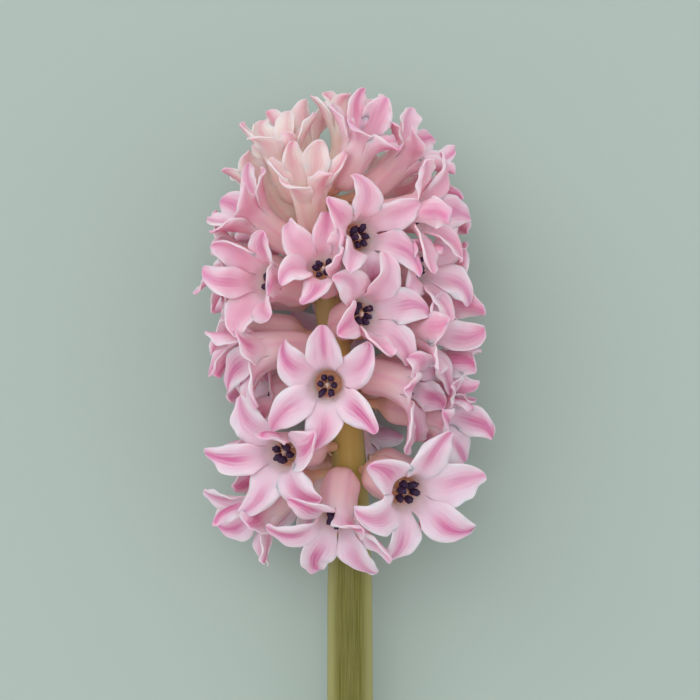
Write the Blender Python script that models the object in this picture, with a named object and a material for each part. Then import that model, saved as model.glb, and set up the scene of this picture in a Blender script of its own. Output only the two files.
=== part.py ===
"""A cut hyacinth flower lying on its side: a juicy stem that carries a dense head of waxy bells.

The flower is laid out standing, as it grew: Z runs up the stem, X to its right and -Y to its
front. One parent then lays it down on its back, crown towards +Y, so that it rests on the cut
end of the stem and on the petals at the back of the head. Metres throughout.
"""

import math

import bmesh
import bpy
from mathutils import Matrix, Quaternion, Vector
from mathutils.bvhtree import BVHTree
from mathutils.geometry import interpolate_bezier

MM = 0.001

# The stem: its length, and its radius from the cut end to the tip, as (height, radius).
STEM_LENGTH = 207 * MM
STEM_RADII = ((0, 6.2), (96, 5.9), (131, 4.5), (166, 3.8), (187, 3.1), (202, 2.0), (207, 0.9))
STEM_SIDES = 16
STEM_STEP = 12 * MM
LAST_FOOT = 4 * MM
LEAN = 7.6 * MM
LEAN_START = 120 * MM
LEAN_SPAN = 150 * MM

# How it lies: the stem slopes up from its cut end to the middle of the thick head.
SLOPE = math.radians(8.5)
PRESS = 3.5 * MM
PRESSED_WALL = 0.3 * MM

# One full-size floret: a solid lower tube, a hollow throat, and six lobes.
MOUTH_RADIUS = 4.4 * MM
THROAT_DEPTH = 6.0 * MM
THROAT_FLOOR_RADIUS = 3.7 * MM
TUBE_RINGS = ((10.5, 4.9), (13.5, 3.4), (15.5, 1.5))
PEDICEL_RADIUS = 1.2 * MM
LOBE_LENGTH = 14.5 * MM
LOBE_HALF_WIDTH = 4.8 * MM
LOBE_BASE_WIDTH = 0.62
LOBE_WIDEST = 0.45
LOBE_TIP_START = 0.55
LOBE_ROWS = (0.38, 0.78)
LOBE_CUP = 0.22
FLARE = math.radians(14)
CURL = 0.35
WALL = 0.9 * MM
GAP = 0.3 * MM
SIDE_GAP = 0.08
LOBES = 6
COLUMNS = 2
CURVE_STEPS = 24

# The middle line of a floret: how straight it leaves the mouth and the stem, and its points.
MOUTH_PULL = 0.55
FOOT_PULL = 0.3
PATH_POINTS = 33
TUBE_SHARE = 0.9

# The bends and lengths that a crowded lobe can take, in the order in which it tries them.
BENDS = (0, -10, -20, 10, -30, -40, 20, 35, -50, 50, -60, -70, -80)
LENGTHS = (1.0, 0.85, 0.7, 0.5, 0.3)
LEAST_BEND = 8
BELLY = 0.72

# No two lobes lie quite the same: each opens and leans its own way, and the three inner ones
# open less than the three outer ones.
OPEN_UNEVEN = 7
WHORL_STEP = 4
LEAN_UNEVEN = 0.7
SLOW_UNEVEN = 2.4
FAST_UNEVEN = 1.7

# The six anthers round the pistil, as one small cluster deep in an open throat. Each ring of it
# gives the share of its height, and the reach of its points and of its notches.
ANTHER_REACH = 2.3 * MM
ANTHER_HEIGHT = 3.4 * MM
CLUSTER_REST = 1.0 * MM
CLUSTER_RINGS = ((0.0, 0.45, 0.45), (0.35, 0.6, 0.4), (0.8, 1.0, 0.5), (1.0, 0.75, 0.45))
LEAST_OPEN_WITH_STAMENS = 67
MOST_OPEN_WHEN_YOUNG = 45
SMOOTH_UNDER = math.radians(50)

# The florets, from those that face the front to those underneath. Each row gives the height of
# the mouth up the stem, its turn round the stem from the front, its distance from the stem's
# centre, its rise above the foot of its stalk (all mm and degrees), the turn and the lift of
# the way it faces, how far its lobes open, its roll, and its size.
FLORETS = (
    (148.5, -8, 24, 4, -8, -8, 88, 28, 1.00),
    (131.3, -42, 25, -1, -32, -6, 88, 8, 1.06),
    (121.4, 35, 25, -5, 28, -16, 86, 22, 1.16),
    (114.9, -9, 21, -11, -4, -48, 88, 0, 1.05),
    (166.4, 23, 22, 4, 38, 2, 69, 12, 1.00),
    (185.9, 27, 22, 3, 32, 4, 68, 40, 1.02),
    (178.0, 0, 24, 5, -6, 30, 72, 26, 0.86),
    (196.5, -10, 15.5, 7, -4, 54, 34, 10, 0.86),
    (190.5, -62, 18, 6, -68, 36, 46, 50, 0.88),
    (174.5, -40, 22, 3, -37, 2, 46, 5, 1.02),
    (179.6, -90, 21, 4, -94, 12, 67, 20, 0.93),
    (163.0, -88, 21.5, 2, -86, 2, 62, 48, 0.95),
    (157.0, -48, 24, 3, -80, -14, 68, 15, 1.00),
    (146.0, -76, 18.5, -2, -76, -22, 76, 33, 0.96),
    (116.5, -72, 23, -9, -66, -36, 62, 12, 1.0),
    (206.0, 80, 21, 10, 70, 42, 52, 18, 0.86),
    (194.0, 107, 28, 5, 96, 14, 62, 44, 0.90),
    (192.0, 60, 28, 3, 60, 2, 70, 2, 1.00),
    (178.5, 64, 27, 2, 60, 2, 62, 30, 0.98),
    (171.0, 94, 27.5, 3, 90, 2, 70, 14, 0.98),
    (162.0, 62, 26, 1, 62, -4, 66, 50, 0.98),
    (152.0, 90, 22.5, 1, 86, -6, 50, 25, 0.98),
    (140.5, 76, 24.5, -3, 74, -14, 80, 6, 1.02),
    (148.0, 43, 25, -1, 70, -24, 78, 52, 1.04),
    (213.0, 84, 6, 10, 40, 80, 40, 20, 0.84),
    (206.5, -54, 12.5, 11, -40, 70, 34, 46, 0.84),
    (199.0, -108, 14, 9, -102, 58, 24, 0, 0.83),
    (209.0, 34, 17, 11, 36, 50, 50, 36, 0.88),
    (129.5, -104, 19.5, -4, -104, -10, 67, 24, 0.93),
    (124.0, 104, 17.5, -5, 104, -24, 67, 10, 0.94),
    (210.5, -146, 10.5, 15, -146, 66, 28, 12, 0.80),
    (211.0, 153, 13.5, 15, 146, 58, 34, 40, 0.84),
    (188.5, -148, 17, 6, -140, 20, 46, 28, 0.90),
    (197.5, 138, 18.5, 6, 128, 28, 44, 6, 0.89),
    (178.5, 180, 19, 3, 181, 4, 46, 34, 0.93),
    (172.5, -130, 21, 1, -120, 2, 52, 16, 0.98),
    (172.0, 136, 21, 3, 122, 2, 50, 50, 0.98),
    (160.0, 180, 18, 1, 180, -2, 50, 22, 0.96),
    (151.0, -132, 21, 0, -118, -8, 56, 42, 1.00),
    (147.0, 134, 21, -1, 120, -10, 56, 8, 1.00),
    (133.0, 176, 17, -4, 178, -22, 52, 30, 0.96),
    (121.5, -142, 20, -6, -132, -32, 56, 18, 0.98),
)


def clear_scene():
    for obj in list(bpy.data.objects):
        bpy.data.objects.remove(obj)


def stem_radius(height):
    """The stem's radius at a height, straight between the stations of STEM_RADII."""
    for (low, wide), (high, thin) in zip(STEM_RADII, STEM_RADII[1:]):
        if height <= high * MM:
            share = (height - low * MM) / ((high - low) * MM)
            return (wide + (thin - wide) * share) * MM
    return STEM_RADII[-1][1] * MM


def stem_centre(height):
    """The stem is straight below the head and leans gently to its left inside it."""
    share = max(0.0, (height - LEAN_START) / LEAN_SPAN)
    return Vector((-LEAN * math.sin(math.pi * share) ** 2, 0, height))


def outward(turn):
    """The level direction away from the stem at a turn from the front."""
    angle = math.radians(turn)
    return Vector((math.sin(angle), -math.cos(angle), 0))


def facing(turn, lift):
    angle = math.radians(lift)
    return outward(turn) * math.cos(angle) + Vector((0, 0, math.sin(angle)))


def rest_height():
    return stem_radius(0) * math.cos(SLOPE)


def floor_distance(point):
    """How high above the surface a point of the standing flower is once it lies down."""
    return rest_height() + point.z * math.sin(SLOPE) - point.y * math.cos(SLOPE)


def raised(point, least):
    """The point, pressed back up to the least distance from the surface that it lies on."""
    short = least - floor_distance(point)
    if short <= 0:
        return point
    return point + Vector((0, -math.cos(SLOPE), math.sin(SLOPE))) * short


def floret_path(height, turn, reach, rise, face_turn, face_lift):
    """Points down the middle of a floret, from its mouth to the foot of its stalk at the stem."""
    mouth = stem_centre(height * MM) + outward(turn) * reach * MM
    foot_height = min((height - rise) * MM, STEM_LENGTH - LAST_FOOT)
    start = outward(turn)
    foot = stem_centre(foot_height) + start * (stem_radius(foot_height) + GAP)
    span = (mouth - foot).length
    leaving = mouth - facing(face_turn, face_lift) * span * MOUTH_PULL
    return interpolate_bezier(mouth, leaving, foot + start * span * FOOT_PULL, foot, PATH_POINTS)


def place_along(path, distance):
    """(point, direction towards the mouth) at a distance down the path from the mouth."""
    left = distance
    for near, far in zip(path, path[1:]):
        step = (far - near).length
        if left <= step:
            break
        left -= step
    return near.lerp(far, min(left / step, 1.0)), (near - far).normalized()


def mouth_frame(path, roll):
    """The mouth's own axes as a matrix: X and Y across it and Z out of it."""
    axis = (path[0] - path[1]).normalized()
    side = axis.cross(Vector((0, 0, 1))).normalized()
    turned = Quaternion(axis, math.radians(roll)) @ side
    across = axis.cross(turned)
    frame = Matrix((turned, across, axis)).transposed().to_4x4()
    return Matrix.Translation(path[0]) @ frame


def ring_point(path, frame, distance, radius, angle):
    point, direction = place_along(path, distance)
    axis = frame.col[2].to_3d()
    spoke = frame.to_3x3() @ Vector((math.cos(angle), math.sin(angle), 0))
    return point + (axis.rotation_difference(direction) @ spoke) * radius


def lobe_curve(bend, length, share):
    """(distance out, distance up, angle) of a lobe's midrib at a share of its length."""
    out = up = 0.0
    angle = FLARE
    for step in range(round(CURVE_STEPS * share)):
        along = (step + 0.5) / CURVE_STEPS
        angle = FLARE + (bend - FLARE) * (1 - (1 - along) ** 2) + CURL * bend * along**4
        out += math.sin(angle) * length / CURVE_STEPS
        up += math.cos(angle) * length / CURVE_STEPS
    return out, up, angle


def lobe_half_width(share, radius, size):
    """Widest near the middle, with a round tip, and never outside its own sixth of the floret."""
    swell = math.sin(math.pi * min(1.0, share / (2 * LOBE_WIDEST)))
    natural = LOBE_BASE_WIDTH + (1 - LOBE_BASE_WIDTH) * swell
    if share > LOBE_TIP_START:
        past = (share - LOBE_TIP_START) / (1 - LOBE_TIP_START)
        natural *= math.sqrt(max(0.0, 1 - past**2))
    sixth = radius * math.pi / LOBES * (1 - SIDE_GAP * min(1.0, 3 * share))
    return min(natural * LOBE_HALF_WIDTH * size, sixth), sixth


def lobe_point(frame, lobe, across, share, size, bend, length, lean):
    """A point of a lobe's upper face; across runs from -1 to 1 between its two edges."""
    out, up, angle = lobe_curve(bend, length, share)
    radius = MOUTH_RADIUS * size + out
    half, sixth = lobe_half_width(share, radius, size)
    turn = 2 * math.pi * lobe / LOBES
    turn += (across * half + lean * share * (sixth - half)) / radius
    cup = LOBE_CUP * half * across**2 * min(1.0, 3 * share)
    spoke = Vector((math.cos(turn), math.sin(turn), 0))
    local = spoke * (radius - cup * math.cos(angle)) + Vector((0, 0, up + cup * math.sin(angle)))
    return frame @ local


def unevenness(floret, lobe):
    """(extra bend in degrees, sideways lean) of a lobe: no two lie quite the same."""
    wave = math.sin(SLOW_UNEVEN * lobe + FAST_UNEVEN * floret)
    bend = OPEN_UNEVEN * wave + (WHORL_STEP if lobe % 2 else -WHORL_STEP)
    return bend, LEAN_UNEVEN * math.cos(FAST_UNEVEN * lobe + floret)


def grown_lobe(bm, base, place):
    """Extrudes a lobe from the edges of its base, row by row, and closes it in a tip."""
    column = bm.verts.layers.int["column"]
    edges = base
    for share in (*LOBE_ROWS, 1.0):
        made = bmesh.ops.extrude_edge_only(bm, edges=edges)["geom"]
        verts = [item for item in made if isinstance(item, bmesh.types.BMVert)]
        edges = [item for item in made if isinstance(item, bmesh.types.BMEdge)]
        for vert in verts:
            vert.co = place(vert[column], share)
    tip = sum((vert.co for vert in verts), Vector()) / len(verts)
    bmesh.ops.pointmerge(bm, verts=verts, merge_co=tip)


def lobe_place(frame, floret, lobe, size, bend, length):
    """Where the columns of a lobe go at each share of its length, none of it below the floor."""
    lean = unevenness(floret, lobe)[1]
    middle = COLUMNS * lobe

    def place(column, share):
        count = COLUMNS * LOBES
        across = (column - middle + count // 2) % count - count // 2
        shape = (size, math.radians(bend), length * LOBE_LENGTH * size, lean)
        point = lobe_point(frame, lobe, 2 * across / COLUMNS, share, *shape)
        return raised(point, PRESSED_WALL)

    return place


def pressed(bm):
    for vert in bm.verts:
        vert.co = raised(vert.co, 0.0)


def thickened(bm, frame, spare):
    """Gives the sheet its wall, on the side away from the mouth, with spare room on both faces."""
    above = frame @ Vector((0, 0, MOUTH_RADIUS))
    bmesh.ops.recalc_face_normals(bm, faces=bm.faces)
    bm.normal_update()
    near = min(bm.faces, key=lambda face: (face.calc_center_median() - above).length)
    if near.normal.dot(above - near.calc_center_median()) < 0:
        bmesh.ops.reverse_faces(bm, faces=bm.faces)
        bm.normal_update()
    for vert in bm.verts:
        vert.co += vert.normal * spare
    bmesh.ops.solidify(bm, geom=bm.faces[:], thickness=WALL + 2 * spare)
    bmesh.ops.recalc_face_normals(bm, faces=bm.faces)


def numbered_circle(bm, count):
    """A capped circle whose corners know their number, which everything grown from them keeps."""
    column = bm.verts.layers.int.new("column")
    bmesh.ops.create_circle(bm, segments=count, radius=1.0, cap_ends=True)
    for vert in bm.verts:
        vert[column] = round(math.atan2(vert.co.y, vert.co.x) / (2 * math.pi / count)) % count
    return column


def throat_cup(bm, frame, size):
    """The sheet of the throat: its round floor and its wall. Returns the edges of the mouth."""
    count = COLUMNS * LOBES
    column = numbered_circle(bm, count)
    made = bmesh.ops.extrude_edge_only(bm, edges=bm.edges[:])["geom"]
    top = {item for item in made if isinstance(item, bmesh.types.BMVert)}
    for vert in bm.verts:
        angle = 2 * math.pi * vert[column] / count
        radius = MOUTH_RADIUS if vert in top else THROAT_FLOOR_RADIUS
        depth = 0.0 if vert in top else THROAT_DEPTH
        spoke = Vector((math.cos(angle), math.sin(angle), 0)) * radius
        vert.co = frame @ ((spoke - Vector((0, 0, depth))) * size)
    return [item for item in made if isinstance(item, bmesh.types.BMEdge)]


def lobe_base(rim, lobe, column):
    """The edges of the mouth that one lobe grows from."""
    count = COLUMNS * LOBES
    half = COLUMNS // 2
    wanted = {(COLUMNS * lobe + step) % count for step in range(-half, half + 1)}
    return [edge for edge in rim if {vert[column] for vert in edge.verts} <= wanted]


def lower_tube(bm, path, frame, size, spare):
    """Draws the solid lower tube and its stalk out of the throat's floor, down to the stem."""
    column = bm.verts.layers.int["column"]
    axis = frame.col[2].to_3d()
    many = [face for face in bm.faces if len(face.verts) == COLUMNS * LOBES]
    face = min(many, key=lambda item: item.calc_center_median().dot(axis))
    length = sum((far - near).length for near, far in zip(path, path[1:]))
    deepest = TUBE_RINGS[-1][0] * MM * size
    squeeze = min(1.0, (length - GAP) * TUBE_SHARE / deepest)
    rings = [(depth * MM * size * squeeze, wide * MM * size) for depth, wide in TUBE_RINGS]
    for depth, radius in (*rings, (length - spare, PEDICEL_RADIUS)):
        face = bmesh.ops.extrude_discrete_faces(bm, faces=[face])["faces"][0]
        for vert in face.verts:
            angle = 2 * math.pi * vert[column] / (COLUMNS * LOBES)
            vert.co = ring_point(path, frame, depth, radius + spare, angle)


class Floret:
    """One floret's place: the middle line of its tube, the axes of its mouth, and its size."""

    def __init__(self, number, row):
        self.number = number
        self.opening = row[6]
        self.size = row[8]
        self.path = floret_path(*row[:6])
        self.frame = mouth_frame(self.path, row[7])
        self.lobes = []

    def sheet(self):
        bm = bmesh.new()
        return bm, throat_cup(bm, self.frame, self.size)

    def grow(self, bm, rim, lobe, bend, length):
        base = lobe_base(rim, lobe, bm.verts.layers.int["column"])
        grown_lobe(bm, base, lobe_place(self.frame, self.number, lobe, self.size, bend, length))

    def lobe_alone(self, lobe, bend, length):
        """One lobe as a solid with spare room round it, for finding whether its place is free."""
        bm, rim = self.sheet()
        cup = bm.faces[:]
        self.grow(bm, rim, lobe, bend, length)
        bmesh.ops.delete(bm, geom=cup, context="FACES")
        thickened(bm, self.frame, GAP)
        pressed(bm)
        return bm

    def closed_alone(self):
        """The tube with its lobes cut to stubs: the least room that the floret ever takes."""
        bm, rim = self.sheet()
        for lobe in range(LOBES):
            self.grow(bm, rim, lobe, LEAST_BEND, LENGTHS[-1])
        thickened(bm, self.frame, GAP)
        lower_tube(bm, self.path, self.frame, self.size, GAP)
        return bm

    def whole(self):
        bm, rim = self.sheet()
        for lobe, (bend, length) in enumerate(self.lobes):
            self.grow(bm, rim, lobe, bend, length)
        thickened(bm, self.frame, 0.0)
        lower_tube(bm, self.path, self.frame, self.size, 0.0)
        pressed(bm)
        return bm

    def depth_of_press(self, lobe, bend, length):
        """How far a lobe would go below the surface if nothing pressed it up."""
        lean = unevenness(self.number, lobe)[1]
        shape = (self.size, math.radians(bend), length * LOBE_LENGTH * self.size, lean)
        middle = [lobe_point(self.frame, lobe, 0, share, *shape) for share in (BELLY, 1)]
        return -min(floor_distance(point) for point in middle)


class Solid:
    """A placed solid: whose it is, its surface, and a ball round it for quick tests."""

    def __init__(self, owner, bm):
        self.owner = owner
        self.surface = BVHTree.FromBMesh(bm)
        self.middle = sum((vert.co for vert in bm.verts), Vector()) / len(bm.verts)
        self.reach = max((vert.co - self.middle).length for vert in bm.verts)
        bm.free()

    def meets(self, other):
        if self.owner == other.owner:
            return False
        if (self.middle - other.middle).length > self.reach + other.reach:
            return False
        return bool(self.surface.overlap(other.surface))


def settled_lobe(floret, lobe, placed):
    """The first bend and length at which the lobe is clear of its neighbours and the surface."""
    wanted = floret.opening + unevenness(floret.number, lobe)[0]
    for length in LENGTHS:
        for change in BENDS:
            bend = max(LEAST_BEND, wanted + change)
            if floret.depth_of_press(lobe, bend, length) > PRESS:
                continue
            solid = Solid(floret.number, floret.lobe_alone(lobe, bend, length))
            if not any(solid.meets(other) for other in placed):
                return bend, length, solid
    return bend, length, solid


def settle(florets, stem):
    """Opens each floret's lobes as far as its neighbours leave room, the front ones first."""
    placed = [Solid("stem", stem)]
    placed += [Solid(floret.number, floret.closed_alone()) for floret in florets]
    for floret in florets:
        for lobe in range(LOBES):
            bend, length, solid = settled_lobe(floret, lobe, placed)
            floret.lobes.append((bend, length))
            placed.append(solid)


def stem_mesh(spare):
    """The stem: a round bar drawn up from the cut end to the tip, which leans and tapers."""
    bm = bmesh.new()
    column = numbered_circle(bm, STEM_SIDES)
    face = bm.faces[:][0]
    steps = math.ceil(STEM_LENGTH / STEM_STEP)
    for step in range(steps + 1):
        if step:
            face = bmesh.ops.extrude_discrete_faces(bm, faces=[face])["faces"][0]
        height = STEM_LENGTH * step / steps
        for vert in face.verts:
            turn = 360 * vert[column] / STEM_SIDES
            vert.co = stem_centre(height) + outward(turn) * (stem_radius(height) + spare)
    bmesh.ops.holes_fill(bm, edges=bm.edges, sides=STEM_SIDES)
    bmesh.ops.recalc_face_normals(bm, faces=bm.faces)
    return bm


def cluster_mesh(floret):
    """Six anthers round a pistil as one low star, set just above the floor of the throat."""
    bm = bmesh.new()
    column = numbered_circle(bm, 2 * LOBES)
    face = bm.faces[:][0]
    base = -THROAT_DEPTH * floret.size + CLUSTER_REST
    for number, (rise, point, notch) in enumerate(CLUSTER_RINGS):
        if number:
            face = bmesh.ops.extrude_discrete_faces(bm, faces=[face])["faces"][0]
        height = base + rise * ANTHER_HEIGHT * floret.size
        for vert in face.verts:
            angle = math.pi * vert[column] / LOBES
            reach = ANTHER_REACH * floret.size * (notch if vert[column] % 2 else point)
            spoke = Vector((math.cos(angle), math.sin(angle), 0)) * reach
            vert.co = floret.frame @ (spoke + Vector((0, 0, height)))
    bmesh.ops.holes_fill(bm, edges=bm.edges, sides=2 * LOBES)
    bmesh.ops.recalc_face_normals(bm, faces=bm.faces)
    return bm


def material(name, colour, roughness):
    made = bpy.data.materials.new(name)
    made.use_nodes = True
    shader = made.node_tree.nodes["Principled BSDF"]
    shader.inputs["Base Color"].default_value = (*colour, 1)
    shader.inputs["Roughness"].default_value = roughness
    shader.inputs["Metallic"].default_value = 0.0
    return made


def stem_material():
    return material("stem_skin", (0.22, 0.19, 0.05), 0.5)


def petal_material():
    return material("pink_petal", (0.84, 0.46, 0.56), 0.5)


def young_petal_material():
    return material("cream_petal", (0.83, 0.55, 0.48), 0.5)


def anther_material():
    return material("anther", (0.03, 0.012, 0.045), 0.6)


def add_piece(name, bm, finish, parent):
    mesh = bpy.data.meshes.new(name)
    bm.to_mesh(mesh)
    bm.free()
    mesh.shade_smooth()
    mesh.set_sharp_from_angle(angle=SMOOTH_UNDER)
    mesh.materials.append(finish)
    piece = bpy.data.objects.new(name, mesh)
    piece.parent = parent
    bpy.context.collection.objects.link(piece)
    return piece


def laid_down(parent):
    """Lays the standing flower on its back, with the middle of its floor box at the origin."""
    turn = Matrix.Rotation(SLOPE - math.pi / 2, 4, "X")
    corners = [turn @ vert.co for piece in parent.children for vert in piece.data.vertices]
    low = [min(corner[axis] for corner in corners) for axis in range(3)]
    high = [max(corner[axis] for corner in corners) for axis in range(3)]
    middle = Vector(((low[0] + high[0]) / 2, (low[1] + high[1]) / 2, low[2]))
    parent.matrix_world = Matrix.Translation(-middle) @ turn


def build():
    clear_scene()
    lying = bpy.data.objects.new("lying_flower", None)
    bpy.context.collection.objects.link(lying)
    florets = [Floret(number, row) for number, row in enumerate(FLORETS, 1)]
    settle(florets, stem_mesh(GAP))
    add_piece("stem", stem_mesh(0.0), stem_material(), lying)
    petal, young, anther = petal_material(), young_petal_material(), anther_material()
    for floret in florets:
        finish = petal if floret.opening > MOST_OPEN_WHEN_YOUNG else young
        add_piece(f"floret_{floret.number:02d}", floret.whole(), finish, lying)
    for floret in florets:
        if floret.opening >= LEAST_OPEN_WITH_STAMENS:
            add_piece(f"stamens_{floret.number:02d}", cluster_mesh(floret), anther, lying)
    laid_down(lying)


build()
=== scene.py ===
import math

import bmesh
import bpy
from mathutils import Matrix, Quaternion, Vector, noise
from mathutils.geometry import interpolate_bezier
from mathutils.kdtree import KDTree


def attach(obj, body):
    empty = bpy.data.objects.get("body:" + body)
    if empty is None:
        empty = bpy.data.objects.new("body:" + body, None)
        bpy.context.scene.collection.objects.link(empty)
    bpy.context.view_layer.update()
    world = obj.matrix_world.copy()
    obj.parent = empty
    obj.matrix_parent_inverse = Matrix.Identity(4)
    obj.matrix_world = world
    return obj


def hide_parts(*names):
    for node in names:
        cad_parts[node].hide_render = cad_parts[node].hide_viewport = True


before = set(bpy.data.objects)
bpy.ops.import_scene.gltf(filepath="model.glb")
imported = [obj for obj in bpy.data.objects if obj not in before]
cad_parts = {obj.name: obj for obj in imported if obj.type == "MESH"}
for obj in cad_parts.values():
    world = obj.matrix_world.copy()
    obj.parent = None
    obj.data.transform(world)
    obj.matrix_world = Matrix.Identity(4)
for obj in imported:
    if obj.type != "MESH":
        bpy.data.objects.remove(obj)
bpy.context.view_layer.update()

# ---------------------------------------------------------------------------------------------
# How the cut flower lies. It is laid out as it grew, Z up the stem and its front to -Y, then
# tipped on to its back: it rests on the rim of the cut end and on the petals behind the head.
# ---------------------------------------------------------------------------------------------
MM = 0.001
SLOPE = math.radians(8.5)
RIM_BAND = 0.1 * MM
TIPPED = Matrix.Rotation(SLOPE - math.pi / 2, 4, "X")
UP_THE_STEM = TIPPED @ Vector((0, 0, 1))


def cut_end():
    """The middle of the stem's cut end, found on the framed stem itself."""
    points = [vert.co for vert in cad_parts["stem"].data.vertices]
    lowest = min(point.dot(UP_THE_STEM) for point in points)
    rim = {tuple(round(part, 6) for part in point) for point in points
           if point.dot(UP_THE_STEM) < lowest + RIM_BAND}
    return sum((Vector(point) for point in rim), Vector()) / len(rim)


LAID = Matrix.Translation(cut_end()) @ TIPPED


def laid(point, least=0.0):
    """A point of the standing flower where it lies, never lower than the surface."""
    placed = LAID @ point
    placed.z = max(placed.z, least)
    return placed


def mixed(low, high, share):
    return low + (high - low) * share


def eased(share):
    share = min(1.0, max(0.0, share))
    return share * share * (3 - 2 * share)


def piece_from(name, bm, finish, slot, *nodes):
    """Makes the finished object, on the one body, in place of the plain solids it stands for."""
    mesh = bpy.data.meshes.new(name)
    bm.to_mesh(mesh)
    bm.free()
    mesh.shade_smooth()
    mesh.materials.append(finish)
    piece = bpy.data.objects.new(name, mesh)
    bpy.context.scene.collection.objects.link(piece)
    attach(piece, "root")
    if nodes:
        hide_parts(*nodes)
    return piece


# ---------------------------------------------------------------------------------------------
# The surface and the light. A plain sage card under the flower, a broad soft key from the upper
# left, a weak fill from the right and an even light from the front, as in a small studio.
# ---------------------------------------------------------------------------------------------
CARD_COLOUR = (0.39, 0.478, 0.437)
FRAME_WIDTH = 182 * MM
LENS = 120.0
SENSOR = 36.0
VIEW_HEIGHT = 157.3 * MM
CARD_HALF_SIZE = 6.0
SKY_STRENGTH = 0.76

scene = bpy.context.scene
scene.view_settings.view_transform = "Standard"

card = bmesh.new()
bmesh.ops.create_grid(card, x_segments=1, y_segments=1, size=CARD_HALF_SIZE)
card_mesh = bpy.data.meshes.new("card")
card.to_mesh(card_mesh)
card.free()
card_finish = bpy.data.materials.new("sage_card")
card_finish.use_nodes = True
card_shader = card_finish.node_tree.nodes["Principled BSDF"]
card_shader.inputs["Base Color"].default_value = (*CARD_COLOUR, 1)
card_shader.inputs["Roughness"].default_value = 0.9
card_mesh.materials.append(card_finish)
card_object = bpy.data.objects.new("card", card_mesh)
scene.collection.objects.link(card_object)

sky = bpy.data.worlds.new("studio")
sky.use_nodes = True
sky.node_tree.nodes["Background"].inputs["Color"].default_value = (1.0, 1.0, 1.0, 1)
sky.node_tree.nodes["Background"].inputs["Strength"].default_value = SKY_STRENGTH
scene.world = sky

aim = LAID @ Vector((0, 0, VIEW_HEIGHT))
towards_camera = TIPPED @ Vector((0, -1, 0))


def softbox(name, side, rise, front, size, power):
    """A square soft light aimed at the head, placed as the flower's own front view has it."""
    light = bpy.data.lights.new(name, "AREA")
    light.size = size
    light.energy = power
    holder = bpy.data.objects.new(name, light)
    holder.location = aim + TIPPED @ Vector((side, -front, rise))
    holder.rotation_mode = "QUATERNION"
    holder.rotation_quaternion = (aim - holder.location).to_track_quat("-Z", "Y")
    scene.collection.objects.link(holder)


softbox("key", -1.4, 1.1, 1.3, 1.5, 8.0)
softbox("fill", 1.4, -0.2, 1.2, 1.4, 1.8)
softbox("front", -0.2, 0.3, 1.8, 1.2, 8.5)

camera = bpy.data.objects.new("camera", bpy.data.cameras.new("camera"))
camera.data.lens = LENS
camera.data.sensor_width = SENSOR
camera.data.clip_start = 0.01
camera.location = aim + towards_camera * (FRAME_WIDTH * LENS / SENSOR)
camera.rotation_mode = "QUATERNION"
across_view = Vector((1, 0, 0))
camera_axes = Matrix((across_view, UP_THE_STEM, towards_camera)).transposed()
camera.rotation_quaternion = camera_axes.to_quaternion()
scene.collection.objects.link(camera)
scene.camera = camera


# ---------------------------------------------------------------------------------------------
# The stem. A thick, watery flower stalk, smooth and faintly ribbed, olive green below and golden
# brown where it thins out inside the head. It was cut square across with a knife.
# ---------------------------------------------------------------------------------------------
STEM_LENGTH = 207 * MM
STEM_RADII = ((0, 6.2), (96, 5.9), (131, 4.5), (166, 3.8), (187, 3.1), (202, 2.0), (207, 0.9))
STEM_SIDES = 64
STEM_ROWS = 120
LEAN = 7.6 * MM
LEAN_START = 120 * MM
LEAN_SPAN = 150 * MM
RIBS, RIB_DEPTH = 7, 0.010
FINE_RIBS, FINE_RIB_DEPTH = 13, 0.006
RIB_SINK = 0.012
RIB_TWIST = 6
CUT_STEPS = ((0.5, 0.0), (0.8, 0.15), (1.6, 0.1), (1.4, -0.05))


def stem_radius(height):
    for (low, wide), (high, thin) in zip(STEM_RADII, STEM_RADII[1:]):
        if height <= high * MM:
            return mixed(wide, thin, (height / MM - low) / (high - low)) * MM
    return STEM_RADII[-1][1] * MM


def stem_centre(height):
    share = max(0.0, (height - LEAN_START) / LEAN_SPAN)
    return Vector((-LEAN * math.sin(math.pi * share) ** 2, 0, height))


def outward(turn):
    angle = math.radians(turn)
    return Vector((math.sin(angle), -math.cos(angle), 0))


def numbered_circle(bm, count):
    """A capped circle whose corners know their number, which everything grown from them keeps."""
    column = bm.verts.layers.int.new("column")
    bmesh.ops.create_circle(bm, segments=count, radius=1.0, cap_ends=True)
    for vert in bm.verts:
        vert[column] = round(math.atan2(vert.co.y, vert.co.x) / (2 * math.pi / count)) % count
    return column


def rib(angle, height):
    """The stem's faint lengthwise ribs and flats, as a share of its radius."""
    twist = angle + height * RIB_TWIST
    broad = RIB_DEPTH * math.cos(RIBS * twist)
    return 1 + broad + FINE_RIB_DEPTH * math.cos(FINE_RIBS * twist + 1) - RIB_SINK


def stem_body():
    bm = bmesh.new()
    column = numbered_circle(bm, STEM_SIDES)
    face = bm.faces[:][0]
    for row in range(STEM_ROWS + 1):
        if row:
            face = bmesh.ops.extrude_discrete_faces(bm, faces=[face])["faces"][0]
        height = STEM_LENGTH * row / STEM_ROWS
        for vert in face.verts:
            angle = 2 * math.pi * vert[column] / STEM_SIDES
            radius = stem_radius(height) * rib(angle, height)
            vert.co = laid(stem_centre(height) + outward(math.degrees(angle)) * radius)
    cut = bmesh.ops.holes_fill(bm, edges=bm.edges, sides=STEM_SIDES)["faces"]
    for step, sink in CUT_STEPS:
        bmesh.ops.inset_region(bm, faces=cut, thickness=step * MM, depth=0, use_even_offset=True)
        for vert in {vert for face in cut for vert in face.verts}:
            vert.co += UP_THE_STEM * sink * MM
    bmesh.ops.recalc_face_normals(bm, faces=bm.faces)
    return bm


def dye(red, green, blue):
    """A colour as seen in daylight, 0 to 255, turned into the linear light that shaders take."""
    return tuple(((part / 255 + 0.055) / 1.055) ** 2.4 for part in (red, green, blue))


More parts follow.
